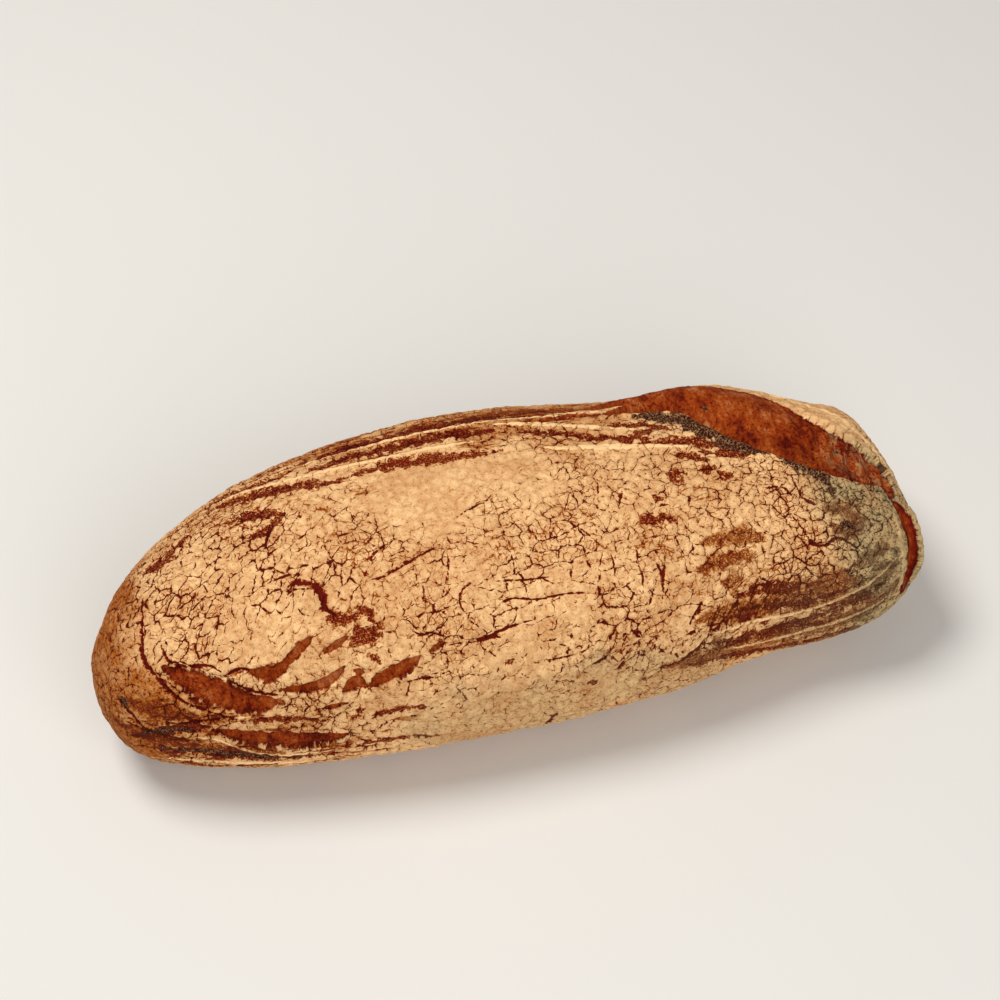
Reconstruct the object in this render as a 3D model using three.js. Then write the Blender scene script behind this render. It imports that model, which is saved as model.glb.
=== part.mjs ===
// A rustic bread roll: one long, flour-dusted piece of bread, round at one end and pinched at the
// other, that stands on its flat baked underside. Its seam has torn open along the back shoulder
// and gapes once more at the pinched tip.
//
// Millimetres, +Z up. X runs along the roll towards the pinched tip, and Y across it towards the
// torn shoulder. The origin is under the middle of the roll, on the surface it stands on.
import * as THREE from "three";
import { mergeVertices } from "three/addons/utils/BufferGeometryUtils.js";

// Driving dimensions
const LENGTH = 200;
const WIDTH = 83;
const HEIGHT = 56;

// How finely the skin is divided, round the girth and along the roll
const GIRTH_STEPS = 72;
const LENGTH_STEPS = 58;

// The widest line of the roll stands this high above the table, and rises towards the pinched tip
const BELLY = 0.39 * HEIGHT;
const TIP_RISE = 0.075 * HEIGHT;

// Superellipse powers of the cross-section: 2 is an ellipse and higher is squarer
const CROWN_POWER = 2.2;
const KEEL_POWER = 2.6;

// The torn seam is a soft-edged trough with these stations along its middle line. "along" runs from
// 0 at the round end to 1 at the pinched tip, and "round" is degrees from the back over the crown.
const SEAM = [
  { along: 0.56, round: 68, halfWidth: 2, depth: 0 },
  { along: 0.61, round: 68, halfWidth: 4, depth: 0.8 },
  { along: 0.66, round: 72, halfWidth: 5, depth: 1.4 },
  { along: 0.7, round: 80, halfWidth: 6, depth: 1.8 },
  { along: 0.75, round: 88, halfWidth: 7, depth: 2.4 },
  { along: 0.81, round: 93, halfWidth: 7, depth: 2.6 },
  { along: 0.87, round: 102, halfWidth: 4, depth: 1.6 },
  { along: 0.89, round: 120, halfWidth: 3, depth: 1 },
  { along: 0.91, round: 148, halfWidth: 5, depth: 2.4 },
  { along: 0.89, round: 172, halfWidth: 4, depth: 1.4 },
  { along: 0.86, round: 186, halfWidth: 2, depth: 0 },
];
const SEAM_SAMPLES = 160;

// A smooth curve through evenly spaced values, from the round end (t = 0) to the pinched tip (t = 1)
function profile(scale, values) {
  const last = values.length - 1;
  const curve = new THREE.SplineCurve(
    values.map((value, i) => new THREE.Vector2(i / last, value * scale)),
  );
  return (t) => curve.getPoint(t).y;
}

// The roll is an ellipsoid whose radii swell and shrink along it: each profile is a radius
const halfWidth = profile(WIDTH, [0.53, 0.52, 0.52, 0.51, 0.505, 0.5, 0.48, 0.53, 0.63, 0.91, 1.18]);
const crown = profile(HEIGHT, [1.1, 0.94, 0.75, 0.65, 0.6, 0.615, 0.68, 0.76, 0.8]);
const keel = profile(HEIGHT, [0.85, 0.74, 0.61, 0.5, 0.46, 0.48, 0.6, 0.74, 0.8]);

// The middle of the roll's width wanders a little along it
const centreLine = profile(
  WIDTH,
  [-0.12, -0.14, -0.09, -0.04, -0.01, 0, -0.02, 0.015, -0.035, -0.055, -0.22],
);

// A rounded wave: cosine or sine pushed out towards a square by the superellipse power
function squared(wave, power) {
  return Math.sign(wave) * Math.abs(wave) ** (2 / power);
}

// The plain skin, at t along the roll and an angle round it from the back over the crown
function skin(t, angle) {
  const taper = Math.sin(Math.PI * t);
  const overCrown = Math.sin(angle) > 0;
  const power = overCrown ? CROWN_POWER : KEEL_POWER;
  const radius = overCrown ? crown(t) : keel(t);
  return new THREE.Vector3(
    -Math.cos(Math.PI * t) * (LENGTH / 2),
    centreLine(t) + taper * halfWidth(t) * squared(Math.cos(angle), power),
    BELLY + TIP_RISE * t ** 6 + taper * radius * squared(Math.sin(angle), power),
  );
}

// The trough of the torn seam, as a string of round dents along smooth curves through its stations
const seamLine = new THREE.CatmullRomCurve3(
  SEAM.map(({ along, round }) => skin(along, THREE.MathUtils.degToRad(round))),
);
const seamSize = new THREE.SplineCurve(
  SEAM.map((station) => new THREE.Vector2(station.halfWidth, station.depth)),
);
const seamDents = Array.from({ length: SEAM_SAMPLES + 1 }, (_, i) => {
  const size = seamSize.getPoint(i / SEAM_SAMPLES);
  return { centre: seamLine.getPoint(i / SEAM_SAMPLES), radius: size.x, depth: size.y };
});

function seamDepth(point) {
  const depths = seamDents.map(({ centre, radius, depth }) => {
    return depth * (1 - THREE.MathUtils.smoothstep(centre.distanceTo(point), 0, radius));
  });
  return Math.max(...depths);
}

// Calls move(point, i) on every point of a geometry and puts the moved point back
function movePoints(geometry, move) {
  const points = geometry.getAttribute("position");
  const point = new THREE.Vector3();
  for (let i = 0; i < points.count; i++) {
    move(point.fromBufferAttribute(points, i), i);
    points.setXYZ(i, point.x, point.y, point.z);
  }
  geometry.computeVertexNormals();
}

// A unit ball with its poles on X is carried onto the skin, and then the seam is pressed into it
function rollGeometry() {
  let geometry = new THREE.SphereGeometry(1, GIRTH_STEPS, LENGTH_STEPS).rotateZ(-Math.PI / 2);
  geometry.deleteAttribute("normal");
  geometry.deleteAttribute("uv");
  geometry = mergeVertices(geometry);
  movePoints(geometry, (point) => {
    const t = Math.acos(THREE.MathUtils.clamp(-point.x, -1, 1)) / Math.PI;
    point.copy(skin(t, Math.atan2(point.z, point.y)));
  });
  const outward = new THREE.Vector3();
  movePoints(geometry, (point, i) => {
    outward.fromBufferAttribute(geometry.getAttribute("normal"), i);
    point.addScaledVector(outward, -seamDepth(point));
    point.z = Math.max(point.z, 0); // the underside is baked flat
  });
  return geometry;
}

const crust = new THREE.MeshStandardMaterial({ color: 0xd7a66c, roughness: 0.9, metalness: 0 });

const roll = new THREE.Mesh(rollGeometry(), crust);
roll.name = "bread_roll";

const part = new THREE.Group();
part.add(roll);
export default part;
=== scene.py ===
"""A rustic bread roll: gives the plain CAD roll its crackled, floured and torn crust.

Laid out as an add-on and run as a script. Metres, in the frame of the CAD roll: X runs along it to
the pinched tip, +Y is the side of the torn shoulder, and Z = 0 is what the roll lies on.
"""
import math

import bmesh
import bpy
import numpy as np
from bpy.props import FloatProperty, FloatVectorProperty, IntProperty, PointerProperty
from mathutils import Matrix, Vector
from mathutils.bvhtree import BVHTree


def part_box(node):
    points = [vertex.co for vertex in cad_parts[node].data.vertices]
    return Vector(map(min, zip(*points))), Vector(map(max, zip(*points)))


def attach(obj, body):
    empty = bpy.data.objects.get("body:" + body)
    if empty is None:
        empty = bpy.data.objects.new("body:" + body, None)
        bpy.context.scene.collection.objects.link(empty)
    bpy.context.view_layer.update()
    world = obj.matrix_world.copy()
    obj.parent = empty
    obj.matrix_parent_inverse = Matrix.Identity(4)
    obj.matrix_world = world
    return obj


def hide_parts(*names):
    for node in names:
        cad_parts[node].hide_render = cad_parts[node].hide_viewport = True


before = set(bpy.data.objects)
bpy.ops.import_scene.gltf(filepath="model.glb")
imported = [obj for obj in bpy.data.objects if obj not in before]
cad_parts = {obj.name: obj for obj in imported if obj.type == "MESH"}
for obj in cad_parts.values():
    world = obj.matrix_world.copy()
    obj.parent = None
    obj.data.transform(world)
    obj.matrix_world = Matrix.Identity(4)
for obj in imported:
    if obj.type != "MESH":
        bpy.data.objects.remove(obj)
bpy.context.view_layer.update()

bl_info = {
    "name": "Rustic Bread Roll",
    "version": (1, 0, 0),
    "blender": (4, 5, 0),
    "location": "View3D > Sidebar > Bakery",
    "description": "Bakes a crackled, floured crust onto a plain roll and lights it on a pale table",
    "category": "Object",
}

MM = 0.001
CAD_ROLL = "bread_roll"
LOW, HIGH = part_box(CAD_ROLL)
HALF_LENGTH = (HIGH.x - LOW.x) / 2

# Stations are measured round a straight axis, which lies at this share of the roll's height
AXIS_SHARE = 0.39
AXIS_HEIGHT = AXIS_SHARE * (HIGH.z - LOW.z)

# The side is unrolled from a circle whose radius is GIRTH_SHARE of half the roll's width. An end is
# laid out END_ENLARGED times its size, plus TIP_EXTRA at the tip and less it at the round end, which
# makes the cracks of the tip finer. END_OFFSET, in millimetres, keeps the two ends' patterns apart.
GIRTH_SHARE = 0.8
END_ENLARGED = 1.15
TIP_EXTRA = 0.15
END_OFFSET = 300

# Plates to the millimetre between the main, the minor and the hair cracks
MAIN_PLATES = 0.33
MINOR_PLATES = 0.62
HAIR_PLATES = 1.1

# The stage, in metres and degrees
TABLE_HALF_SIZE = 3.0
TABLE_ROUGHNESS = 0.8
KEY_PLACE = (-0.3, 0.2, 0.85)
KEY_WIDTH = 0.4
KEY_TINT = (1.0, 0.97, 0.92)
FRONT_PLACE = (0.15, -0.85, 0.55)
FRONT_WIDTH = 0.9
FRONT_TINT = (1.0, 0.98, 0.95)
STUDIO_TINT = (1.0, 0.97, 0.93, 1)
STUDIO_STRENGTH = 0.3
CAMERA_AZIMUTH = -14
CAMERA_ELEVATION = 50
CAMERA_TARGET = (0, -0.0044, 0.024)
CAMERA_DISTANCE = 0.5667
CAMERA_MOVED_LEFT = 0.00098
CAMERA_MOVED_UP = 0.01834

# ---------------------------------------------------------------------------------------------
# Where the marks of the crust are. Each mark is a line over the skin through a few stations
# (along, round): along is a percentage of the way from the middle of the roll to the pinched tip
# (or, below 0, to the round end), and round is in degrees from the top towards the torn shoulder
# (or, below 0, towards the other side). The number before a line is its half-width in mm.

# Smooth brown dough that shows where the floured skin has torn open
TEARS = (
    (4.0, ((-83, -51), (-78, -58), (-72, -64), (-67, -69), (-59, -70))),
    (3.4, ((-75, -81), (-67, -86), (-60, -89), (-52, -90), (-45, -88))),
    (2.1, ((-65, -56), (-62, -58), (-59, -58), (-56, -54))),
    (1.3, ((-58, -57), (-53, -51), (-50, -48))),
    (1.1, ((-48, -54), (-42, -50))),
    (1.5, ((-59, -65), (-53, -66), (-48, -64), (-44, -60))),
    (1.8, ((-45, -69), (-42, -66), (-40, -68))),
    (0.8, ((-42, -62), (-40, -63))),
    (2.1, ((-39, -68), (-36, -66), (-31, -64), (-27, -61))),
    (0.7, ((-52, -75), (-48, -74), (-44, -73))),
    (0.6, ((-25, -60), (-21, -58))),
)

# Narrow splits in the skin
SPLITS = (
    (0.55, ((-85, -14), (-86, -28), (-87, -39), (-87, -48), (-84, -58), (-80, -66), (-74, -72),
            (-66, -78))),
    (0.6, ((-83, -41), (-82, -48), (-79, -51), (-74, -52), (-71, -55))),
    (0.4, ((-71, -57), (-67, -55), (-62, -57))),
    (0.5, ((-70, -59), (-65, -64), (-57, -68))),
    (0.9, ((-54, -33), (-52, -29), (-50, -28), (-47, -30), (-46, -35), (-46, -39), (-44, -42))),
    (0.5, ((-95, -66), (-93, -72), (-89, -86))),
    (0.5, ((-91, -27), (-91, -30))),
    (0.6, ((-94, -80), (-88, -84), (-80, -88))),
    (0.5, ((-86, -77), (-78, -76), (-70, -74))),
    (0.5, ((-90, -91), (-80, -96), (-70, -98))),
    (0.35, ((-73, 12), (-72, 15))),
    (0.4, ((-56, -25), (-52, -24), (-49, -25))),
    (0.45, ((-35, -32), (-32, -32), (-28, -30), (-23, -27), (-17, -24))),
    (0.35, ((-34, -26), (-32, -22), (-28, -19))),
    (0.3, ((-12, -14), (-8, -11), (-3, -8))),
    (0.25, ((-16, -24), (-17, -34), (-20, -44))),
    (0.3, ((-12, -40), (-15, -42), (-16, -47), (-14, -52))),
    (0.25, ((-8, -41), (-3, -42), (2, -43), (7, -43))),
    (0.3, ((-10, -52), (-5, -48), (2, -50), (9, -50), (18, -53))),
    (0.3, ((-28, -52), (-25, -54), (-20, -52))),
    (0.35, ((-20, -59), (-13, -59), (-6, -57), (0, -56))),
    (0.45, ((-12, -64), (-13, -60), (-10, -59), (-8, -60))),
    (0.3, ((-5, -71), (1, -71), (10, -70), (12, -67))),
    (0.4, ((-31, -69), (-24, -69))),
    (0.3, ((22, -9), (21, -16))),
    (0.4, ((27, -15), (25, -22))),
    (0.3, ((29, -42), (31, -49), (31, -54), (30, -60))),
    (0.3, ((33, -43), (31, -54))),
    (0.3, ((19, -37), (14, -26))),
    (0.6, ((40, -63), (38, -67), (36, -71))),
    (0.5, ((38, -73), (35, -75))),
    (0.6, ((49, -66), (47, -70), (43, -76), (38, -82), (34, -86), (28, -86))),
    (0.4, ((44, -66), (42, -72), (41, -79))),
    (0.5, ((20, -78), (18, -81))),
    (0.5, ((16, -74), (12, -76))),
    (0.4, ((29, -54), (27, -60))),
    (0.4, ((-53, 2), (-55, -5), (-56, -10))),
    (0.6, ((4, -97), (1, -106))),
    (0.45, ((68, -19), (69, -31), (72, -37))),
    (0.4, ((64, -35), (67, -45), (69, -52), (72, -54), (75, -52), (79, -57), (81, -61))),
    (0.3, ((57, -25), (61, -25), (65, -26), (67, -32))),
    (0.9, ((93, 6), (93, -13), (93, -28), (93, -39), (94, -48))),
)

# Bare dark crust without flour
BARE = (
    (2.2, ((-52, 35), (-30, 38), (-10, 40), (8, 41))),
    (2.3, ((-44, 28), (-20, 30), (-8, 31), (3, 30))),
    (2.0, ((-36, 17), (-22, 19), (-10, 17), (3, 16))),
    (2.0, ((-66, 26), (-50, 21), (-36, 15))),
    (1.8, ((-64, 11), (-56, 9), (-50, 6))),
    (1.4, ((-61, -1), (-56, -2), (-53, 1), (-50, 6))),
    (2.0, ((-84, -1), (-78, 4), (-73, 13))),
    (1.6, ((-70, 30), (-60, 34), (-48, 30))),
    (1.3, ((8, 26), (18, 21), (26, 15), (38, 10))),
    (1.2, ((26, 20), (36, 22), (44, 14))),
    (1.3, ((34, 8), (46, 6), (54, 8))),
    (1.9, ((40, -12), (41, -13))),
    (1.5, ((47, -12), (50, -11))),
    (1.6, ((51, -14), (54, -18))),
    (1.1, ((33, -21), (35, -23))),
    (1.2, ((28, -30), (33, -30), (37, -32))),
    (1.2, ((42, -1), (46, -4), (50, -7))),
    (1.3, ((48, -1), (56, -5), (64, -5))),
    (1.6, ((-38, -42), (-36, -43))),
    (1.5, ((-46, -42), (-42, -44), (-38, -43))),
    (2.9, ((-39, -51), (-37, -51))),
    (1.1, ((-37, -59), (-36, -60))),
    (1.0, ((-23, -58), (-22, -57))),
    (0.8, ((-8, -69), (-6, -68))),
    (1.1, ((11, -84), (13, -84))),
    (1.1, ((54, -82), (57, -82))),
    (1.0, ((-43, -77), (-41, -77))),
    (1.5, ((29, 15), (32, 11), (36, 14), (40, 17))),
    (1.4, ((43, 10), (47, 6), (50, 3), (54, 1), (59, -4))),
    (1.2, ((-69, -77), (-60, -77), (-50, -80))),
    (2.1, ((-93, -90), (-88, -84), (-82, -80), (-75, -79))),
    (1.8, ((-92, -97), (-83, -95), (-74, -96), (-65, -100), (-48, -101))),
    (1.1, ((-88, -110), (-66, -107), (-46, -107))),
    (1.0, ((-40, -80), (-32, -79), (-27, -80))),
    (1.0, ((-44, -95), (-34, -94), (-24, -97))),
    (1.5, ((47, -65), (57, -67), (65, -68))),
    (1.3, ((49, -71), (57, -74), (66, -77), (80, -74))),
    (1.9, ((39, -81), (49, -86), (60, -89), (72, -86), (88, -76))),
    (1.3, ((36, -90), (47, -95), (58, -102), (69, -106), (84, -98))),
)

# Long stripes of brown crust, and the smudges that the oven has left
SCORCHED = (
    (2.4, ((42, -42), (52, -43), (57, -46))),
    (2.2, ((40, -51), (47, -51), (55, -51))),
    (1.8, ((45, -58), (50, -59))),
    (2.8, ((74, -38), (80, -42), (79, -50), (75, -48))),
    (2.4, ((66, -70), (72, -69), (77, -67))),
    (2.4, ((78, -66), (83, -64), (88, -61))),
    (3.0, ((70, -80), (80, -78), (90, -70))),
    (4.5, ((38, -70), (52, -72), (66, -74), (80, -72))),
    (4.5, ((30, -86), (46, -90), (62, -94), (78, -92), (90, -80))),
    (3.5, ((60, -106), (72, -108), (84, -102))),
    (3.0, ((-96, -84), (-86, -88), (-76, -92), (-60, -96))),
    (3.0, ((-93, -66), (-86, -70), (-78, -73))),
    (3.0, ((-5, 42), (10, 43), (26, 36), (36, 30))),
)

# Pale ridges, where the skin has wrinkled and holds more flour
RIDGES = (
    (0.6, ((-60, 34), (-44, 35), (-21, 35), (-8, 36), (4, 37), (22, 34))),
    (0.6, ((-66, 30), (-44, 25), (-30, 24), (-12, 24), (0, 24))),
    (0.9, ((2, 34), (10, 31), (18, 27), (26, 22), (36, 17))),
    (0.6, ((16, 38), (22, 35), (28, 33), (35, 34))),
    (0.9, ((12, 14), (18, 11), (32, 7), (47, 2))),
    (0.6, ((39, -77), (52, -79), (65, -82), (78, -77), (90, -68))),
    (0.6, ((44, -88), (60, -95), (75, -93), (88, -84))),
    (0.5, ((-80, -84), (-74, -86), (-70, -92), (-64, -96), (-57, -98), (-48, -97))),
    (0.6, ((-90, -106), (-79, -102), (-65, -104), (-50, -104))),
    (0.9, ((70, 46), (76, 43), (82, 38), (87, 31), (90, 22), (93, 7), (95, -10), (97, -28), (98, -42))),
    (1.6, ((92, -48), (92.5, -58), (92.5, -68), (92, -76), (90, -86))),
)

# Crust that the oven has charred
CHARRED = (
    (3.1, ((37, 27), (42, 25), (47, 21), (51, 13), (55, 5), (59, -1), (64, -7))),
    (2.2, ((66, -10), (71, -16), (75, -22), (77, -27))),
    (1.3, ((76, -30), (78, -31))),
    (1.6, ((77, -48), (79, -48))),
    (0.6, ((51, 43), (54, 40))),
    (0.6, ((60, 35), (61, 34))),
    (0.8, ((53, 27), (55, 25))),
    (0.4, ((66, 22), (67, 20))),
    (0.5, ((82, -3), (83, -5))),
    (1.4, ((76, -66), (79, -68))),
    (1.4, ((-94, -64), (-93, -70))),
    (0.9, ((-90, -96), (-83, -95), (-74, -96), (-64, -100), (-52, -101))),
    (0.8, ((-91, -87), (-86, -82), (-79, -80))),
)

# Places where the dough has puffed up: (along, round), radius and height in mm
PUFFS = (
    ((-50, -35), 2.8, 0.9), ((-62, -44), 9.0, 0.6), ((-8, -30), 9.0, 0.5), ((12, -62), 10.0, 0.5),
    ((35, -22), 9.0, 0.5), ((60, -34), 8.0, 0.5), ((74, -54), 6.0, 0.5), ((-35, -8), 10.0, 0.5),
)

# The two lips of the torn seam and of the gaping tip, as stations that lie across from each other:
# (along, round) of the near lip, then of the far lip
SEAM = (
    (20, 33, 20, 36), (27, 31, 29, 41), (36, 30, 39, 47), (44, 29, 49, 51), (51, 22, 59, 51),
    (56, 9, 68, 42), (61, 0, 76, 29), (68, -9, 81, 16), (75, -18, 86, 4), (83, -28, 90, -7),
    (91, -33, 93, -20), (93, -41, 94, -34),
)
TIP_GAPE = (
    (93, -46, 95, -46), (94, -53, 97, -52), (95, -60, 98.5, -58), (95.5, -67, 98.5, -66),
    (95, -74, 98, -75), (93.5, -81, 96.5, -83), (91, -88, 93, -91),
)


# ---------------------------------------------------------------------------------------------
# Lines over the skin


def smooth_line(stations, samples):
    """Points along a Catmull-Rom curve through the stations."""
    knots = np.array(stations, float)
    knots = np.vstack([2 * knots[0] - knots[1], knots, 2 * knots[-1] - knots[-2]])
    points = []
    for u in np.linspace(0, len(knots) - 3, samples):
        i = min(int(u), len(knots) - 4)
        t = u - i
        a, b, c, d = knots[i:i + 4]
        points.append(b + 0.5 * t * (c - a + t * (2 * a - 5 * b + 4 * c - d + t * (3 * (b - c) + d - a))))
    return np.array(points)


class Skin:
    """The plain skin of the roll, in millimetres, and the marks measured over it."""

    def __init__(self, mesh):
        self.points = read(mesh.vertices, "co", 3) / MM
        self.normals = read(mesh.vertex_normals, "vector", 3)
        self.tree = BVHTree.FromPolygons(
            [v.co for v in mesh.vertices], [p.vertices for p in mesh.polygons])
        self.along = self.points[:, 0] * (MM * 100 / HALF_LENGTH)
        self.round = np.degrees(np.arctan2(self.points[:, 1], self.points[:, 2] - AXIS_HEIGHT / MM))
        self.swayed_along = self.along + 9 * sway(self.points, 1)
        self.swayed_round = self.round + 12 * sway(self.points, 2)

    def laid_out(self):
        """The skin laid out flat in millimetres: unrolled from its side, and flattened from its ends.
        The third value is how much of each point belongs to an end."""
        across, up = self.points[:, 1], self.points[:, 2] - AXIS_HEIGHT / MM
        girth_radius = (HIGH.y - LOW.y) / 2 / MM * GIRTH_SHARE
        straight = HALF_LENGTH / MM - girth_radius
        beyond = np.maximum(abs(self.points[:, 0]) - straight, 0)
        bend = np.arctan2(beyond, np.hypot(across, up))
        sign = np.sign(self.points[:, 0])
        turn = np.radians(self.round)
        along = sign * (np.minimum(abs(self.points[:, 0]), straight) + girth_radius * bend)
        nothing = np.zeros(len(along))
        side = np.column_stack([along, turn * girth_radius, nothing])
        from_pole = girth_radius * (math.pi / 2 - bend) * (END_ENLARGED + TIP_EXTRA * sign)
        end = np.column_stack([
            from_pole * np.cos(turn), from_pole * np.sin(turn) + END_OFFSET * sign, nothing])
        return side, end, ease((bend - 0.75) / 0.25)

    def spot(self, along, turn):
        """The place on the skin at a station, in millimetres."""
        turn = math.radians(turn)
        outward = Vector((0, math.sin(turn), math.cos(turn)))
        axis = Vector((HALF_LENGTH * along / 100, 0, AXIS_HEIGHT))
        hit = self.tree.ray_cast(axis + outward * HALF_LENGTH, -outward)[0]
        return np.array(hit if hit is not None else axis) / MM

    def line(self, stations):
        """The points of a line over the skin through the stations."""
        return np.array([self.spot(*station) for station in smooth_line(stations, 10 * len(stations))])

    def measure(self, line, reach):
        """Which points lie within reach of a line, and for them the distance to it, how far along
        it they are (0 to 1) and the vector to them from the nearest place on it."""
        near = np.flatnonzero(np.all(
            (self.points > line.min(0) - reach) & (self.points < line.max(0) + reach), axis=1))
        start, step = line[:-1], np.diff(line, axis=0)
        gap = self.points[near, None] - start
        t = np.clip((gap * step).sum(2) / np.maximum((step * step).sum(1), 1e-9), 0, 1)
        away = gap - t[..., None] * step
        distance = np.linalg.norm(away, axis=2)
        best = distance.argmin(1)
        rows = np.arange(len(near))
        share = (best + t[rows, best]) / len(step)
        return near, distance[rows, best], share, away[rows, best], step[best]

    def strokes(self, marks, ends=0.5):
        """1 on the middle of each mark, 0 at its edge and -1 well outside."""
        field = np.full(len(self.points), -1.0)
        for half_width, stations in marks:
            line = self.line(stations)
            near, distance, share, _, _ = self.measure(line, 2 * half_width)
            blunt = min(half_width / np.linalg.norm(line[-1] - line[0]), 1)
            width = half_width * np.maximum(np.sin(math.pi * np.clip(share, 0.02, 0.98)) ** ends, blunt)
            field[near] = np.maximum(field[near], np.clip(1 - distance / width, -1, 1))
        return field

    def puffs(self, places):
        """The height of the puffed-up places, in mm."""
        height = np.zeros(len(self.points))
        for station, radius, rise in places:
            gap = np.linalg.norm(self.points - self.spot(*station), axis=1)
            height += rise * ease(1.5 - gap / radius)
        return height

    def opening(self, lips):
        """For an opening between two lips: the points near it, how far across it they are (-1 at the
        near lip, 1 at the far lip), how far along it, and its half-width there."""
        lips = np.array(lips, float)
        near_lip, far_lip = self.line(lips[:, :2]), self.line(lips[:, 2:])
        middle = self.line((lips[:, :2] + lips[:, 2:]) / 2)
        half_widths = np.linalg.norm(far_lip - near_lip, axis=1) / 2
        near, distance, share, away, step = self.measure(middle, 3 * half_widths.max())
        half_width = np.interp(share, np.linspace(0, 1, len(half_widths)), half_widths)
        side = np.sign((np.cross(step, away) * self.normals[near]).sum(1))
        return near, side * distance / np.maximum(half_width, 0.3), share, half_width

    def window(self, along, turn, fade=8.0):
        """1 inside a range of along and round, 0 outside, with a soft edge."""
        def inside(value, low, high):
            return ease((value - low) / fade + 0.5) * ease((high - value) / fade + 0.5)
        return inside(self.swayed_along, *along) * inside(self.swayed_round, *turn)


def sway(points, seed, longest=45.0, shortest=7.0, waves=9):
    """A smooth unevenness over the points, mostly from -1 to 1: a sum of seeded waves."""
    random = np.random.default_rng(seed)
    total = np.zeros(len(points))
    for length in np.geomspace(longest, shortest, waves):
        heading = random.normal(size=3)
        heading *= 2 * math.pi / length / np.linalg.norm(heading)
        total += (length / longest) ** 0.7 * np.sin(points @ heading + random.uniform(0, 2 * math.pi))
    return total / 2


def ease(value):
    """A smooth step from 0 to 1."""
    t = np.clip(value, 0, 1)
    return t * t * (3 - 2 * t)


def bump(value, centre, width):
    """A rounded bump of height 1."""
    return np.exp(-((value - centre) / width) ** 2)


def read(items, name, size):
    values = np.empty(len(items) * size, np.float32)
    items.foreach_get(name, values)
    return values.reshape(-1, size).astype(float) if size > 1 else values.astype(float)


def store(mesh, name, values):
    """Writes an array to a point attribute."""
    kind = "FLOAT_VECTOR" if values.ndim > 1 else "FLOAT"
    layer = mesh.attributes.new(name, kind, "POINT")
    layer.data.foreach_set("vector" if values.ndim > 1 else "value", values.astype(np.float32).ravel())


# ---------------------------------------------------------------------------------------------
# Node building, the same for shader trees and geometry trees


class Graph:
    """Adds nodes to a tree, wired as they are made."""

    def __init__(self, tree):
        self.tree = tree

    def node(self, kind, inputs=(), output=0, **settings):
        node = self.tree.nodes.new(kind)
        for name, value in settings.items():
            setattr(node, name, value)
        for key, value in dict(inputs).items():
            socket = node.inputs[key]
            if isinstance(value, bpy.types.NodeSocket):
                self.tree.links.new(value, socket)
            else:
                socket.default_value = value
        return node.outputs[output]

    def math(self, operation, *values, clamp=False):
        return self.node("ShaderNodeMath", enumerate(values), operation=operation, use_clamp=clamp)

    def vector(self, operation, *values):
        return self.node("ShaderNodeVectorMath", enumerate(values), operation=operation)

    def scaled(self, vector, by):
        return self.vector("MULTIPLY", vector, by)

    def noise(self, place, scale, detail=2.0, roughness=0.5, output=0):
        inputs = {"Vector": place, "Scale": scale, "Detail": detail, "Roughness": roughness}
        return self.node("ShaderNodeTexNoise", inputs, output)

    def edges(self, place, scale):
        """Distance to the nearest border between cells, in the units of place."""
        inputs = {"Vector": place, "Scale": scale}
        border = self.node(
            "ShaderNodeTexVoronoi", inputs, feature="DISTANCE_TO_EDGE", voronoi_dimensions="2D")
        return self.math("DIVIDE", border, scale)

    def plates(self, place, scale):
        """A random number from 0 to 1 for each cell."""
        inputs = {"Vector": place, "Scale": scale}
        colour = self.node("ShaderNodeTexVoronoi", inputs, "Color", voronoi_dimensions="2D")
        return self.node("ShaderNodeSeparateXYZ", {0: colour})

    def remap(self, value, low, high, to_low=0.0, to_high=1.0, smooth=False):
        kind = "SMOOTHSTEP" if smooth else "LINEAR"
        inputs = {0: value, 1: low, 2: high, 3: to_low, 4: to_high}
        return self.node("ShaderNodeMapRange", inputs, interpolation_type=kind)

    def blend(self, factor, a, b):
        inputs = {0: factor, 6: a, 7: b}
        return self.node("ShaderNodeMix", inputs, output=2, data_type="RGBA")

    def most(self, *values):
        result = values[0]
        for value in values[1:]:
            result = self.math("MAXIMUM", result, value)
        return result


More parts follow.
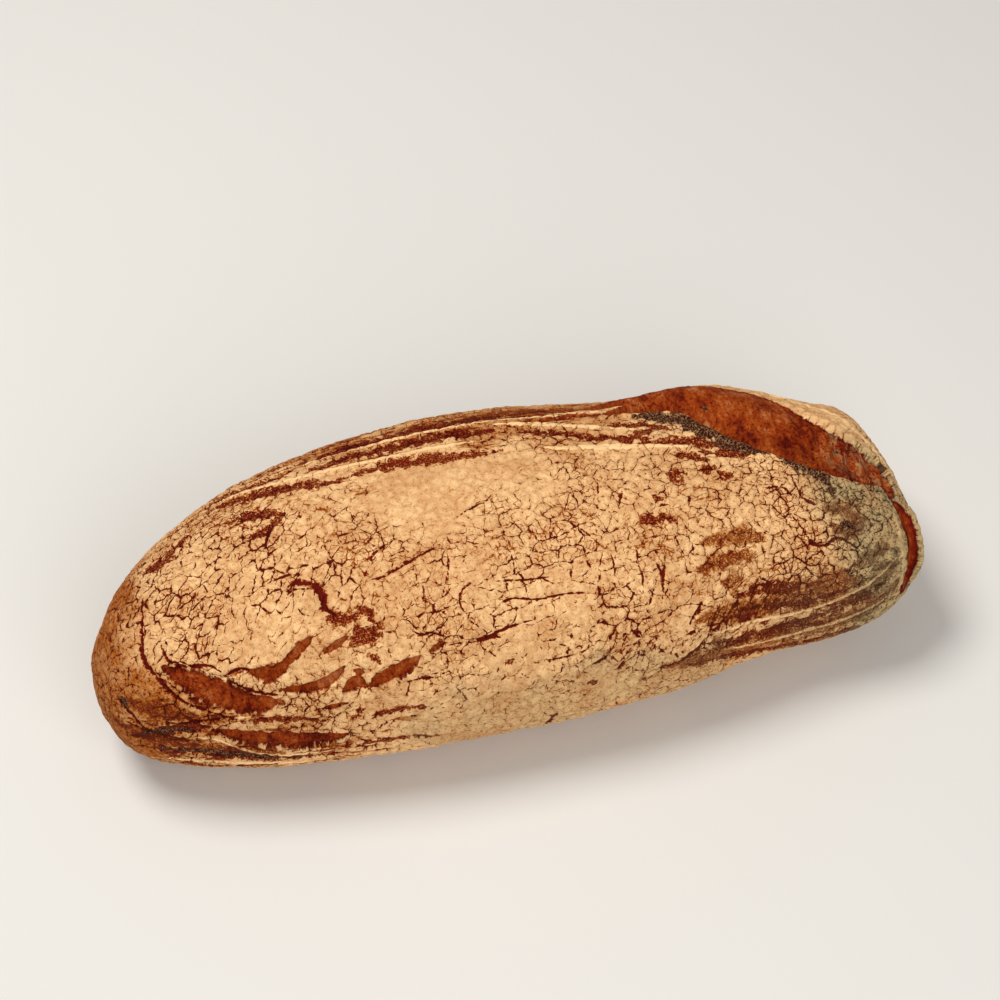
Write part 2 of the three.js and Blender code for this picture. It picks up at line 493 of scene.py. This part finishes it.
def crackle(graph, place, spread, rows, staves, calm):
    """How a floured crust cracks: returns the long cracks, the short ones between them and the
    hairlines (each 0 to 1), the rounded tops of the plates (0 to 1) and a number from 0 to 1 for each
    small plate. Spread is the skin laid out flat. Rows and staves draw the plates out along and
    round the roll, and calm leaves the skin whole."""
    wobble = graph.vector("SUBTRACT", graph.noise(place, 0.45, 3.0, 0.6, output=1), (0.5, 0.5, 0.5))
    bent = graph.vector("ADD", spread, graph.scaled(wobble, (1.9, 1.9, 0.0)))
    patchy = graph.remap(graph.noise(place, 0.06, 1.0), 0.35, 0.65, -0.05, 0.05)
    patchy = graph.math("SUBTRACT", patchy, graph.math("MULTIPLY", calm, 0.3))

    def crack(border, drawn, scale, width, dashes=0.13, varied=0.12, widest=0.19, soft=0.07):
        opened = graph.remap(dashing, 0.3, 0.7, width - dashes, width + dashes)
        by_plate = graph.math("MULTIPLY", graph.math("SUBTRACT", graph.plates(drawn, scale), 0.5), varied)
        opened = graph.math("ADD", graph.math("ADD", opened, by_plate), patchy)
        opened = graph.math("MINIMUM", opened, widest)
        return graph.remap(graph.math("SUBTRACT", opened, border), -soft, soft, smooth=True)

    def drawn_out(slant, squeeze, scale, width):
        """Cracks round plates that are drawn out along a slanted direction."""
        turned = graph.node(
            "ShaderNodeVectorRotate", {"Vector": bent, "Angle": slant}, rotation_type="Z_AXIS")
        drawn = graph.scaled(turned, squeeze)
        return crack(graph.edges(drawn, scale), drawn, scale, width)

    dashing = graph.noise(place, 0.75, 2.0)
    even = graph.edges(bent, MAIN_PLATES)
    plain = graph.math("SUBTRACT", 1.0, graph.math("MAXIMUM", rows, staves), clamp=True)
    main = graph.most(
        graph.math("MULTIPLY", crack(even, bent, MAIN_PLATES, 0.06), plain),
        graph.math("MULTIPLY", drawn_out(-0.15, (0.55, 1.0, 1.0), 0.34, 0.04), rows),
        graph.math("MULTIPLY", drawn_out(0.65, (1.0, 0.5, 1.0), 0.42, 0.08), staves))
    minor = crack(graph.edges(bent, MINOR_PLATES), bent, MINOR_PLATES, 0.01, 0.1, 0.1, 0.11)
    hair = crack(graph.edges(bent, HAIR_PLATES), bent, HAIR_PLATES, -0.02, 0.08, 0.06, 0.08)
    top = graph.remap(even, 0.0, 1.1, smooth=True)
    return main, minor, hair, top, graph.plates(bent, MINOR_PLATES)


def crackle_all_over(graph, place, masks):
    """The crackle of the side of the roll, passing into that of its ends. It is left out along the
    middle of the underside, where the two edges of the laid-out side meet."""
    over_side = crackle(graph, place, masks["side"], masks["rows"], masks["staves"], masks["calm"])
    over_end = crackle(graph, place, masks["end"], 0.0, 0.0, masks["calm"])
    whole_skin = (0.0, 0.0, 0.0, 1.0, 0.5)
    over_side = [graph.node("ShaderNodeMix", {0: masks["beneath"], 2: value, 3: whole})
                 for value, whole in zip(over_side, whole_skin)]
    return [graph.node("ShaderNodeMix", {0: masks["at_end"], 2: a, 3: b})
            for a, b in zip(over_side, over_end)]


def wrinkles(graph, place):
    """Long streaks that run along the roll, from 0 to 1."""
    drawn = graph.scaled(place, (0.05, 0.5, 0.5))
    return graph.noise(drawn, 1.0, 3.0, 0.6)


def raggedness(graph, place, plates):
    """How the flour breaks off at the edge of a mark, from about -0.5 to 0.5: partly plate by plate."""
    rough = graph.math("SUBTRACT", graph.noise(place, 0.9, 4.0, 0.7), 0.5)
    stepped = graph.math("MULTIPLY", graph.math("SUBTRACT", plates, 0.5), 0.3)
    return graph.math("ADD", rough, stepped)


# ---------------------------------------------------------------------------------------------
# The roll


def applied(piece):
    """Replaces a piece's mesh by what its modifiers make of it."""
    evaluated = piece.evaluated_get(bpy.context.evaluated_depsgraph_get())
    mesh = bpy.data.meshes.new_from_object(evaluated)
    piece.modifiers.clear()
    old, piece.data = piece.data, mesh
    bpy.data.meshes.remove(old)
    return mesh


def even_copy(settings):
    """A merged, rounded and evenly remeshed copy of the CAD roll."""
    shape = bmesh.new()
    shape.from_mesh(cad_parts[CAD_ROLL].data)
    bmesh.ops.remove_doubles(shape, verts=shape.verts, dist=0.01 * MM)
    bmesh.ops.join_triangles(
        shape, faces=shape.faces, angle_face_threshold=math.pi, angle_shape_threshold=math.pi)
    mesh = bpy.data.meshes.new("roll")
    shape.to_mesh(mesh)
    shape.free()
    piece = bpy.data.objects.new("roll", mesh)
    bpy.context.scene.collection.objects.link(piece)
    rounder = piece.modifiers.new("rounder", "SUBSURF")
    rounder.levels = rounder.render_levels = 3
    grid = piece.modifiers.new("grid", "REMESH")
    grid.mode = "VOXEL"
    grid.voxel_size = settings.grid
    applied(piece)
    return piece


def evaluate_patterns(piece):
    """Stores the crust's noise patterns on the points, worked out by geometry nodes."""
    tree = bpy.data.node_groups.new("crust patterns", "GeometryNodeTree")
    tree.interface.new_socket("Geometry", in_out="INPUT", socket_type="NodeSocketGeometry")
    tree.interface.new_socket("Geometry", in_out="OUTPUT", socket_type="NodeSocketGeometry")
    graph = Graph(tree)

    def given(name, kind="FLOAT"):
        return graph.node("GeometryNodeInputNamedAttribute", {"Name": name}, data_type=kind)

    place = given("rest", "FLOAT_VECTOR")
    masks = {name: given(name, "FLOAT_VECTOR") for name in ("side", "end")}
    masks.update((name, given(name)) for name in ("at_end", "beneath", "rows", "staves", "calm"))
    main, minor, _, top, plates = crackle_all_over(graph, place, masks)
    patterns = {
        "crack": graph.math("MAXIMUM", main, graph.math("MULTIPLY", minor, 0.5)),
        "plate": top,
        "ragged": raggedness(graph, place, plates),
        "wrinkle": wrinkles(graph, place),
        "lump": graph.noise(place, 0.035, 2.0, 0.5),
        "puff": graph.noise(place, 0.16, 2.0, 0.5),
        "pitted": graph.noise(place, 0.7, 4.0, 0.6),
    }
    geometry = tree.nodes.new("NodeGroupInput").outputs[0]
    for name, value in patterns.items():
        inputs = {"Geometry": geometry, "Name": name, "Value": value}
        geometry = graph.node("GeometryNodeStoreNamedAttribute", inputs, data_type="FLOAT", domain="POINT")
    tree.links.new(geometry, tree.nodes.new("NodeGroupOutput").inputs[0])
    modifier = piece.modifiers.new("patterns", "NODES")
    modifier.node_group = tree
    mesh = applied(piece)
    found = {name: read(mesh.attributes[name].data, "value", 1) for name in patterns}
    for name in patterns:
        mesh.attributes.remove(mesh.attributes[name])
    bpy.data.node_groups.remove(tree)
    return found


def seam_relief(skin, depth):
    """The torn seam and the gaping tip: how far each point moves outwards, in mm, and how far it is
    within the torn dough (1 well inside, 0 at its edge, -1 outside)."""
    move, torn = np.zeros(len(skin.points)), np.full(len(skin.points), -1.0)
    near, across, share, half_width = skin.opening(SEAM)
    strength = ease(share / 0.15) * ease((1 - share) / 0.1)
    later = ease((share - 0.45) / 0.25)
    crevice = -1.6 * bump(across, -0.9, 0.16)
    bulge = (1.5 - 1.7 * later) * bump(across, 0.0, 0.55)
    far_gap = -(0.3 + 1.1 * later) * bump(across, 0.9, 0.14)
    near_lip = 0.8 * bump(across, -1.14, 0.14)
    far_lip = 1.3 * later * bump(across, 1.16, 0.16)
    folds = 0.35 * (0.3 + later) * np.sin(share * 75 + 3 * across + 4 * sway(skin.points[near], 7))
    folds *= ease((1 - abs(across)) * 3)
    move[near] += depth * strength * (crevice + bulge + folds + far_gap + near_lip + far_lip)
    torn[near] = np.maximum(torn[near], np.clip((1 - abs(across)) * half_width / 1.5, -1, 1))

    near, across, share, half_width = skin.opening(TIP_GAPE)
    strength = ease(share / 0.2) * ease((1 - share) / 0.2)
    hollow = -1.8 * bump(across, 0.0, 0.8)
    lips = 0.8 * bump(across, 1.4, 0.35) + 0.4 * bump(across, -1.4, 0.35)
    move[near] += depth * strength * (hollow + lips)
    gape = np.full(len(move), -1.0)
    gape[near] = np.clip((1 - abs(across)) * half_width / 1.0, -1, 1)
    return move, torn, gape


def shape_crust(piece, settings):
    """Moves the points of the even copy into the relief of the crust, and stores the masks."""
    mesh = piece.data
    skin = Skin(mesh)
    store(mesh, "rest", skin.points)
    side, end, at_end = skin.laid_out()
    underside = ease((4.0 - skin.points[:, 2]) / 4.0) * ease(-skin.normals[:, 2] * 2)
    masks = {
        "side": side,
        "end": end,
        "at_end": at_end,
        "beneath": ease((abs(skin.round) - 160) / 14),
        "rows": skin.window((-40, 45), (-82, -30), 12),
        "staves": np.maximum(
            skin.window((-110, -45), (-60, 14), 14), skin.window((18, 62), (-97, -62), 12)),
        "calm": np.maximum.reduce([
            0.8 * skin.window((-27, 3), (-16, 24), 26),
            0.35 * skin.window((-35, 25), (-112, -78), 24),
            0.3 * skin.window((86, 120), (-100, -30), 16),
            0.1 * skin.window((-120, -90), (-110, 60), 16),
            0.4 * skin.window((62, 100), (6, 66), 14),
            0.8 * underside,
            0.2 * ease(skin.strokes(((9, ((-68, -46), (-57, -42))), (3.5, ((-51, -35), (-49, -35))))) * 2),
        ]) - 0.3 * skin.window((62, 86), (-66, -18), 14),
        "toast_and_shade": np.maximum.reduce([
            # The round end: toasted crust under thinner flour, made darker as well: partly toast, partly
            # painted shade.
            skin.window((-130, -91), (-220, 220), 14),
            0.6 * skin.window((-100, -76), (-110, -60), 16),
            0.7 * skin.window((-70, 60), (34, 60), 12),
            0.35 * skin.window((4, 40), (16, 34), 8),
            0.9 * underside,
        ]),
        # Greyer, darker flour at the pinched tip and along the lower front: partly ashen flour, partly
        # painted shade.
        "ash_and_shade": np.maximum.reduce([
            ease(skin.strokes(((26, ((86, -30), (91, -60), (90, -95))),), 0.2) * 1.5),
            0.5 * ease(skin.strokes(((22, ((74, -84), (86, -88))),), 0.2) * 1.5),
            0.45 * skin.window((-35, 40), (-112, -76), 14),
        ]),
        "dusted": skin.window((79, 100), (-40, 12), 8),
    }
    for name, values in masks.items():
        store(mesh, name, values)
    pattern = evaluate_patterns(piece)
    mesh = piece.data

    seam, torn, gape = seam_relief(skin, settings.seam_depth)
    tears = skin.strokes(TEARS, 0.55)
    splits = skin.strokes(SPLITS)
    bare = skin.strokes(BARE)
    ridges = skin.strokes(RIDGES)
    streaky = np.maximum.reduce([
        skin.window((-80, 40), (22, 60), 14),
        skin.window((34, 95), (-112, -64), 12),
        skin.window((-95, -25), (-115, -76), 10),
        skin.window((-90, 90), (60, 175), 20),
    ]) * (1 - 0.8 * underside)
    whole = 1 - ease(np.maximum(torn, gape) * 3) * 0.9
    skinned = whole * (1 - 0.6 * underside)

    broken = 0.6 * pattern["ragged"]
    move = settings.lump_height / MM * (pattern["lump"] - 0.5) * 2 * (1 - 0.85 * underside)
    move += 0.5 * (pattern["puff"] - 0.5) * 2 * skinned * (1 - streaky)
    move += seam + skin.puffs(PUFFS)
    move -= settings.tear_depth / MM * ease((tears + broken) * 4)
    move += 0.25 * bump(tears, -0.3, 0.25) * skinned
    move -= 0.45 * ease((splits + broken) * 2)
    move -= 0.2 * ease((bare + broken) * 2)
    move += 0.35 * ease(ridges * 1.5 + 0.5)
    move += settings.wrinkle_height / MM * (pattern["wrinkle"] - 0.5) * 2 * streaky * skinned
    move += settings.plate_height / MM * (pattern["plate"] - 1) * skinned
    move -= settings.crack_depth / MM * pattern["crack"] * skinned
    move += 0.6 * (pattern["pitted"] - 0.5) * (ease(torn * 3) + ease(tears * 3))
    moved = skin.points + skin.normals * move[:, None]
    mesh.vertices.foreach_set("co", (moved * MM).astype(np.float32).ravel())

    masks = {"torn": torn, "gape": gape, "tears": tears, "splits": splits, "bare": bare,
             "ridges": ridges, "scorched": skin.strokes(SCORCHED), "charred": skin.strokes(CHARRED),
             "streaky": streaky}
    for name, values in masks.items():
        store(mesh, name, values)


def thin_out(piece, settings):
    """Collapses the mesh where it is plain, down to the number of triangles asked for."""
    mesh = piece.data
    mesh.calc_loop_triangles()
    ratio = settings.triangles / len(mesh.loop_triangles)
    if ratio < 1:
        thinner = piece.modifiers.new("thinner", "DECIMATE")
        thinner.ratio = ratio
        applied(piece)


def fit_to_frame(piece):
    """Brings the finished crust back exactly to the box of the CAD roll."""
    mesh = piece.data
    points = read(mesh.vertices, "co", 3)
    low, high = points.min(0), points.max(0)
    points = np.array(LOW) + (points - low) * (np.array(HIGH - LOW) / (high - low))
    mesh.vertices.foreach_set("co", points.astype(np.float32).ravel())
    mesh.shade_smooth()
    mesh.update()


# ---------------------------------------------------------------------------------------------
# Materials


def rgb(red, green, blue):
    """A linear colour from 0 to 255 screen values."""
    def linear(value):
        value /= 255
        return value / 12.92 if value <= 0.04045 else ((value + 0.055) / 1.055) ** 2.4
    return (linear(red), linear(green), linear(blue))


def colour_ramp(graph, value, stops):
    """Colours by value: stops are (position, colour)."""
    output = graph.node("ShaderNodeValToRGB", {0: value})
    ramp = output.node.color_ramp
    while len(ramp.elements) < len(stops):
        ramp.elements.new(0.5)
    for element, (position, colour) in zip(ramp.elements, stops):
        element.position = position
        element.color = (*colour[:3], 1.0)
    return output


def mixed(a, b, share):
    """A colour between two others, with alpha."""
    return (*(x + (y - x) * share for x, y in zip(a[:3], b[:3])), 1.0)


def crust_material(settings):
    material = bpy.data.materials.new("floured crust")
    material.use_nodes = True
    tree = material.node_tree
    tree.nodes.clear()
    graph = Graph(tree)
    black = (0.0, 0.0, 0.0)
    flour, toasted, bare_crust = settings.flour_colour, settings.toasted_colour, settings.bare_colour
    dough, char, ash_and_shade = settings.dough_colour, settings.char_colour, settings.ash_and_shade_colour

    def mask(name, output=2):
        return graph.node("ShaderNodeAttribute", output=output, attribute_name=name)

    place = mask("rest", 1)
    masks = {name: mask(name, 1) for name in ("side", "end")}
    masks.update((name, mask(name)) for name in ("at_end", "beneath", "rows", "staves", "calm"))
    main, minor, hair, top, plates = crackle_all_over(graph, place, masks)
    ragged = raggedness(graph, place, plates)
    grain = graph.noise(place, 2.6, 3.0, 0.7)
    sand = graph.noise(place, 1.1, 3.0, 0.7)
    mottle = graph.noise(place, 0.09, 4.0, 0.6)

    def edged(name, low, high, noise=0.9):
        field = graph.math("ADD", mask(name), graph.math("MULTIPLY", ragged, noise))
        return graph.remap(field, low, high, smooth=True)

    def speckled(value, share):
        """Lets grains of flour lie on a mark."""
        return graph.math("MULTIPLY", value, graph.remap(grain, 0.62, 0.5, share, 1.0))

    streak = graph.remap(wrinkles(graph, place), 0.5, 0.4, smooth=True)
    streak = graph.math("MULTIPLY", streak, mask("streaky"))
    streak = graph.math("MULTIPLY", streak, graph.remap(ragged, -0.12, 0.06, 0.25, 1.0))
    # Toasted crust, with painted shade at the round end.
    toast_and_shade = graph.math("MULTIPLY", mask("toast_and_shade"), graph.remap(mottle, 0.3, 0.6, 0.5, 1.0))
    # Flour thins towards the cracks, so each plate is paler on its domed top than at its edges: partly the
    # flour, partly painted shade of the domes.
    thin_flour_and_shade = graph.math("MULTIPLY", graph.remap(top, 1.0, 0.0), 0.12)
    specks = graph.remap(graph.noise(place, 1.5, 3.0, 0.7), 0.54, 0.64, smooth=True)
    specks = graph.math("MULTIPLY", specks, graph.most(toast_and_shade, mask("ash_and_shade"), 0.25))

    left = graph.math("SUBTRACT", 1.0, thin_flour_and_shade)
    for loss, share in (
            (main, 0.92), (minor, 0.62), (hair, 0.3),
            (speckled(edged("bare", -0.1, 0.3, 3.0), 0.3), 0.82),
            (speckled(edged("scorched", -0.4, 0.7, 2.6), 0.2), 0.62),
            (streak, 0.7), (edged("splits", -0.15, 0.35, 2.6), 0.85),
            (graph.remap(grain, 0.45, 0.25), 0.3), (graph.remap(sand, 0.5, 0.25), 0.25),
            (graph.remap(mottle, 0.6, 0.3), 0.2), (toast_and_shade, 0.46), (plates, 0.07),
            (specks, 0.8)):
        staying = graph.math("SUBTRACT", 1.0, graph.math("MULTIPLY", loss, share))
        left = graph.math("MULTIPLY", left, staying)
    ridge = edged("ridges", -0.1, 0.4, 1.2)
    left = graph.math("ADD", left, graph.math("MULTIPLY", ridge, 0.6), clamp=True)

    crust = colour_ramp(graph, left, (
        (0.0, mixed(bare_crust, black, 0.65)), (0.2, bare_crust), (0.45, toasted), (1.0, flour)))
    # The ashen colours of the pinched end: greyer flour, partly painted shade.
    ashen_and_shaded = colour_ramp(graph, left, (
        (0.0, mixed(char, black, 0.4)), (0.6, mixed(char, ash_and_shade, 0.45)), (1.0, ash_and_shade)))
    ashes_and_shade = graph.math("MULTIPLY", mask("ash_and_shade"), graph.remap(mottle, 0.3, 0.55, 0.5, 1.0))
    crust = graph.blend(ashes_and_shade, crust, ashen_and_shaded)

    fibres = graph.noise(graph.scaled(place, (0.9, 0.35, 0.35)), 1.0, 5.0, 0.7)
    inside = graph.math("ADD", graph.most(mask("torn"), mask("tears")), graph.math("MULTIPLY", ragged, 0.6))
    tone = graph.math("ADD", graph.math("MULTIPLY", fibres, 0.6), graph.math("MULTIPLY", sand, 0.25))
    tone = graph.math("ADD", tone, graph.remap(graph.noise(place, 0.14, 3.0, 0.6), 0.3, 0.7, -0.1, 0.2))
    # The torn dough is painted darker near its edges, down to the darkest stop of its ramp: painted shade
    # under the lips of the floured skin.
    tone = graph.math("ADD", tone, graph.remap(inside, 0.0, 0.5, -0.17, 0.0))
    tone = graph.math("SUBTRACT", tone, graph.math("MULTIPLY", specks, 0.5))
    torn = colour_ramp(graph, tone, (
        (0.3, mixed(bare_crust, black, 0.5)), (0.42, mixed(bare_crust, dough, 0.35)),
        (0.52, mixed(bare_crust, dough, 0.85)), (0.68, mixed(dough, flour, 0.18))))
    dust = graph.math("MULTIPLY", mask("dusted"), graph.remap(fibres, 0.48, 0.62, 0.0, 0.6))
    torn = graph.blend(dust, torn, mixed(char, ash_and_shade, 0.6))
    open_dough = graph.most(edged("torn", -0.05, 0.12, 0.6), edged("tears", -0.05, 0.15, 1.1))
    open_dough = graph.math("MULTIPLY", open_dough, graph.math("SUBTRACT", 1.0, ridge))
    colour = graph.blend(open_dough, crust, torn)

    # The hollow of the gaping tip is painted darker towards its lips, nearly black at the darkest: painted
    # shade in the hollow, over the dough's own mottling.
    deep = graph.math("MULTIPLY", fibres, 0.8)
    deep = graph.math("ADD", deep, graph.remap(mask("gape"), 0.0, 1.0, -0.15, 0.2))
    hollow = colour_ramp(graph, deep, (
        (0.25, mixed(bare_crust, black, 0.8)), (0.5, mixed(bare_crust, black, 0.1)),
        (0.62, mixed(bare_crust, dough, 0.5)), (0.8, mixed(dough, ash_and_shade, 0.3))))
    colour = graph.blend(edged("gape", -0.1, 0.3, 0.8), colour, hollow)
    burnt = mixed(char, bare_crust, 0.4)
    smoke = graph.math("MULTIPLY", speckled(edged("scorched", -0.4, 0.7, 2.6), 0.2), 0.27)
    colour = graph.blend(smoke, colour, mixed(char, toasted, 0.3))
    charring = colour_ramp(graph, grain, (
        (0.35, mixed(burnt, black, 0.85)), (0.5, mixed(burnt, black, 0.5)),
        (0.62, mixed(burnt, ash_and_shade, 0.35))))
    colour = graph.blend(speckled(edged("charred", -0.1, 0.3, 2.4), 0.8), colour, charring)

    height = graph.math("MULTIPLY", grain, 0.12)
    height = graph.math("ADD", height, graph.math("MULTIPLY", top, 0.12))
    sunk = graph.math("MULTIPLY", graph.most(main, graph.math("MULTIPLY", minor, 0.5)), 0.18)
    height = graph.math("SUBTRACT", height, sunk)
    normal = graph.node("ShaderNodeBump", {"Strength": 0.9, "Distance": MM, "Height": height})

    surface = tree.nodes.new("ShaderNodeBsdfPrincipled")
    tree.links.new(colour, surface.inputs["Base Color"])
    tree.links.new(graph.remap(left, 0.2, 0.8, 0.62, 0.92), surface.inputs["Roughness"])
    tree.links.new(normal, surface.inputs["Normal"])
    surface.inputs["Specular IOR Level"].default_value = 0.06
    output = tree.nodes.new("ShaderNodeOutputMaterial")
    tree.links.new(surface.outputs[0], output.inputs[0])
    return material


# ---------------------------------------------------------------------------------------------
# The add-on


class RollSettings(bpy.types.PropertyGroup):
    """Sizes of the crust's relief, and its colours."""

    grid: FloatProperty(
        name="Grid", description="Spacing of the points that carry the relief",
        default=0.45 * MM, min=0.2 * MM, unit="LENGTH", precision=5)
    triangles: IntProperty(
        name="Triangles", description="Most triangles that the finished crust may have",
        default=196000, min=20000)
    lump_height: FloatProperty(
        name="Lumps", description="Height of the broad unevenness of the dough",
        default=0.9 * MM, unit="LENGTH", precision=5)
    wrinkle_height: FloatProperty(
        name="Wrinkles", description="Height of the wrinkles that run along the roll",
        default=0.7 * MM, unit="LENGTH", precision=5)
    plate_height: FloatProperty(
        name="Plates", description="How far the floured plates stand domed between the cracks",
        default=0.22 * MM, unit="LENGTH", precision=5)
    crack_depth: FloatProperty(
        name="Cracks", description="Depth of the main cracks in the floured skin",
        default=0.3 * MM, unit="LENGTH", precision=5)
    tear_depth: FloatProperty(
        name="Tears", description="How far the torn dough lies below the floured skin",
        default=0.8 * MM, unit="LENGTH", precision=5)
    seam_depth: FloatProperty(
        name="Seam", description="Strength of the relief of the torn seam", default=1.0)
    flour_colour: FloatVectorProperty(
        name="Flour", description="The floured skin", subtype="COLOR", size=3,
        default=rgb(244, 201, 146), min=0, max=1)
    toasted_colour: FloatVectorProperty(
        name="Toasted", description="Crust under thin flour", subtype="COLOR", size=3,
        default=rgb(162, 88, 20), min=0, max=1)
    bare_colour: FloatVectorProperty(
        name="Bare crust", description="Dark crust without flour", subtype="COLOR", size=3,
        default=rgb(110, 19, 7), min=0, max=1)
    dough_colour: FloatVectorProperty(
        name="Torn dough", description="The smooth dough inside the tears", subtype="COLOR", size=3,
        default=rgb(158, 70, 16), min=0, max=1)
    char_colour: FloatVectorProperty(
        name="Char", description="Where the oven has burnt the crust", subtype="COLOR", size=3,
        default=rgb(64, 32, 20), min=0, max=1)
    # Greyer and darker than the flour: partly the ashen flour of the pinched end, partly painted shade.
    ash_and_shade_colour: FloatVectorProperty(
        name="Ashen flour and shade", description="The greyer flour of the pinched end", subtype="COLOR", size=3,
        default=rgb(190, 164, 116), min=0, max=1)


class StageSettings(bpy.types.PropertyGroup):
    """The table, the light and the camera."""

    floor_colour: FloatVectorProperty(
        name="Table", description="Colour of the table", subtype="COLOR", size=3,
        default=(0.72, 0.71, 0.69), min=0, max=1)
    key_power: FloatProperty(
        name="Key light", description="Power of the large light", default=5.9, unit="POWER")
    fill_power: FloatProperty(
        name="Fill light", description="Power of the light that fills the shadows",
        default=6.0, unit="POWER")
    lens: FloatProperty(name="Lens", description="Focal length in mm", default=85.0)


class BAKERY_OT_bake_roll(bpy.types.Operator):
    """Bake the crust: a finely shaped and coloured roll in place of the plain one"""

    bl_idname = "bakery.bake_roll"
    bl_label = "Bake the Roll"

    def execute(self, context):
        settings = context.scene.bakery_roll
        piece = even_copy(settings)
        shape_crust(piece, settings)
        thin_out(piece, settings)
        fit_to_frame(piece)
        piece.data.materials.append(crust_material(settings))
        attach(piece, "root")
        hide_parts(CAD_ROLL)
        return {"FINISHED"}


def area_light(name, place, target, size, power, colour):
    light = bpy.data.lights.new(name, "AREA")
    light.shape = "DISK"
    light.size = size
    light.energy = power
    light.color = colour
    lamp = bpy.data.objects.new(name, light)
    lamp.location = place
    lamp.rotation_euler = (Vector(place) - Vector(target)).to_track_quat("Z", "Y").to_euler()
    bpy.context.scene.collection.objects.link(lamp)


class BAKERY_OT_set_stage(bpy.types.Operator):
    """Set the roll on a pale table with soft light and a camera"""

    bl_idname = "bakery.set_stage"
    bl_label = "Set the Stage"

    def execute(self, context):
        settings = context.scene.bakery_stage
        scene = context.scene

        shape = bmesh.new()
        bmesh.ops.create_grid(shape, x_segments=1, y_segments=1, size=TABLE_HALF_SIZE)
        mesh = bpy.data.meshes.new("table")
        shape.to_mesh(mesh)
        shape.free()
        table = bpy.data.objects.new("table", mesh)
        scene.collection.objects.link(table)
        material = bpy.data.materials.new("pale table")
        material.use_nodes = True
        surface = material.node_tree.nodes["Principled BSDF"]
        surface.inputs["Base Color"].default_value = (*settings.floor_colour, 1)
        surface.inputs["Roughness"].default_value = TABLE_ROUGHNESS
        mesh.materials.append(material)

        middle = (LOW + HIGH) / 2
        area_light("key", KEY_PLACE, middle, KEY_WIDTH, settings.key_power, KEY_TINT)
        area_light("front", FRONT_PLACE, middle, FRONT_WIDTH, settings.fill_power, FRONT_TINT)
        world = bpy.data.worlds.new("studio")
        world.use_nodes = True
        world.node_tree.nodes["Background"].inputs["Color"].default_value = STUDIO_TINT
        world.node_tree.nodes["Background"].inputs["Strength"].default_value = STUDIO_STRENGTH
        scene.world = world
        scene.view_settings.view_transform = "Standard"

        azimuth, elevation = math.radians(CAMERA_AZIMUTH), math.radians(CAMERA_ELEVATION)
        backward = Vector((math.sin(azimuth) * math.cos(elevation),
                           -math.cos(azimuth) * math.cos(elevation), math.sin(elevation)))
        right = Vector((math.cos(azimuth), math.sin(azimuth), 0))
        up = backward.cross(right)
        data = bpy.data.cameras.new("camera")
        data.lens = settings.lens
        data.sensor_width = 36
        data.clip_start = 0.01
        camera = bpy.data.objects.new("camera", data)
        place = Vector(CAMERA_TARGET) + backward * CAMERA_DISTANCE
        camera.location = place - right * CAMERA_MOVED_LEFT + up * CAMERA_MOVED_UP
        camera.rotation_euler = backward.to_track_quat("Z", "Y").to_euler()
        scene.collection.objects.link(camera)
        scene.camera = camera
        return {"FINISHED"}


class BAKERY_PT_panel(bpy.types.Panel):
    """Lists the steps and their settings."""

    bl_label = "Bread Roll"
    bl_idname = "BAKERY_PT_panel"
    bl_space_type = "VIEW_3D"
    bl_region_type = "UI"
    bl_category = "Bakery"

    def draw(self, context):
        steps = (
            (BAKERY_OT_bake_roll, context.scene.bakery_roll),
            (BAKERY_OT_set_stage, context.scene.bakery_stage),
        )
        for step, settings in steps:
            box = self.layout.box()
            for name in settings.__annotations__:
                box.prop(settings, name)
            box.operator(step.bl_idname)


CLASSES = (RollSettings, StageSettings, BAKERY_OT_bake_roll, BAKERY_OT_set_stage, BAKERY_PT_panel)


def register():
    for cls in CLASSES:
        bpy.utils.register_class(cls)
    bpy.types.Scene.bakery_roll = PointerProperty(type=RollSettings)
    bpy.types.Scene.bakery_stage = PointerProperty(type=StageSettings)


def unregister():
    del bpy.types.Scene.bakery_roll
    del bpy.types.Scene.bakery_stage
    for cls in reversed(CLASSES):
        bpy.utils.unregister_class(cls)


def main():
    register()
    bpy.ops.bakery.bake_roll()
    bpy.ops.bakery.set_stage()
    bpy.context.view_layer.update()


if __name__ == "__main__":
    main()
